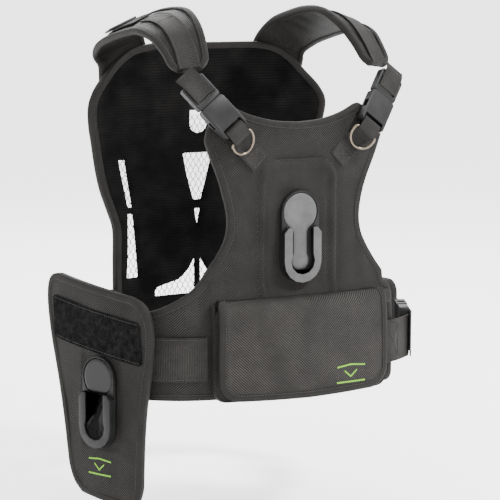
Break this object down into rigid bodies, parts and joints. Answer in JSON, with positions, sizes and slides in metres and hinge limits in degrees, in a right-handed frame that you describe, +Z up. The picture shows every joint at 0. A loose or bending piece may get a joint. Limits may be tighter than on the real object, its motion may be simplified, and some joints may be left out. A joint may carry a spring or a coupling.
{
  "type": "camera carrying vest",
  "caption": "Harness vest with padded shoulder straps, side-release buckles, a chest keyhole receiver, a flap pocket and a belt-hung side holster.",
  "frame": {"origin": "middle of the waist opening, level with the belt webbing's lower half, on the torso's axis", "axes": "the wearer faces -Y, +X is the wearer's left, +Z is up along the spine"},
  "size_m": [0.4519, 0.291, 0.5566],
  "materials": {
    "nylon": "heavy ballistic nylon, diagonal basket weave, faint sheen",
    "binding": "folded woven edge tape with fine cross ribs",
    "air_mesh": "black spacer mesh with fine horizontal ridges",
    "open_mesh": "open net of horizontal cords and fine uprights",
    "foam": "closed-cell foam inside the panels",
    "webbing": "flat nylon webbing with cross ribs",
    "fastener_tape": "matt black hook and loop tape",
    "acetal": "moulded acetal, satin",
    "polycarbonate": "moulded glass-filled plastic, satin black",
    "ring_metal": "dark bronze plated ring wire",
    "steel": "plated pan-head screw"
  },
  "bodies": {
    "root": {"back_band": "nylon", "back_binding": "binding", "back_mesh": "open_mesh", "back_pad": "air_mesh", "back_yoke": "nylon", "belt_hook_tape": "fastener_tape", "belt_slider": "acetal", "belt_web": "webbing", "belt_web_front": "webbing", "chest_back_plate": "polycarbonate", "chest_facing": "nylon", "chest_receiver": "polycarbonate", "chest_screw_1": "steel", "chest_screw_2": "steel", "flap_root": "nylon", "front_binding": "binding", "front_foam": "foam", "front_shell": "nylon", "left_wing_binding": "binding", "left_wing_foam": "foam", "left_wing_shell": "nylon", "pocket_body": "nylon", "pocket_hook_tape": "fastener_tape", "ring_tab_left": "webbing", "ring_tab_right": "webbing", "shoulder_socket_left": "acetal", "shoulder_socket_right": "acetal", "side_tab": "webbing", "strap_pad_left": "nylon", "strap_pad_right": "nylon", "strap_rear_web_left": "webbing", "strap_rear_web_right": "webbing", "strap_slider_left": "acetal", "strap_slider_right": "acetal", "strap_web_left": "webbing", "strap_web_right": "webbing", "waist_socket": "acetal"},
    "pocket_flap": {"pocket_flap": "nylon", "flap_binding": "binding", "flap_loop_tape": "fastener_tape"},
    "holster": {"holster_back_cloth": "nylon", "holster_binding": "binding", "holster_core": "foam", "holster_face": "nylon", "holster_loop_tape": "fastener_tape", "holster_receiver": "polycarbonate", "holster_screw_1": "steel", "holster_screw_2": "steel", "holster_sleeve": "nylon"},
    "waist_plug": {"waist_plug": "acetal", "waist_plug_web": "webbing"},
    "shoulder_plug_left": {"shoulder_plug_left": "acetal", "plug_web_left": "webbing"},
    "chest_ring_left": {"chest_ring_left": "ring_metal"},
    "shoulder_plug_right": {"shoulder_plug_right": "acetal", "plug_web_right": "webbing"},
    "chest_ring_right": {"chest_ring_right": "ring_metal"}
  },
  "joints": [
    {"name": "shoulder_plug_left_slide", "type": "slide", "parent": "root", "child": "shoulder_plug_left", "axis": [0.5936, 0.3317, 0.7332], "range_m": [0, 0.022]},
    {"name": "chest_ring_left_hinge", "type": "hinge", "parent": "root", "child": "chest_ring_left", "pos_m": [0.08037, -0.13735, 0.25112], "axis": [-0.787, 0.0487, 0.615], "range_deg": [0, 50]},
    {"name": "shoulder_plug_right_slide", "type": "slide", "parent": "root", "child": "shoulder_plug_right", "axis": [-0.5936, 0.3317, 0.7332], "range_m": [0, 0.022]},
    {"name": "chest_ring_right_hinge", "type": "hinge", "parent": "root", "child": "chest_ring_right", "pos_m": [-0.08037, -0.13735, 0.25112], "axis": [-0.787, -0.0487, -0.615], "range_deg": [0, 50]},
    {"name": "waist_plug_slide", "type": "slide", "parent": "root", "child": "waist_plug", "axis": [-0.4384, -0.8988, 0], "range_m": [0, 0.024]},
    {"name": "pocket_flap_hinge", "type": "hinge", "parent": "root", "child": "pocket_flap", "pos_m": [0, -0.1345, 0.069], "axis": [-1, 0, 0], "range_deg": [0, 95]},
    {"name": "holster_hinge", "type": "hinge", "parent": "root", "child": "holster", "pos_m": [-0.0842, 0, 0.005], "axis": [0, 0, 1], "range_deg": [-8, 8]}
  ]
}
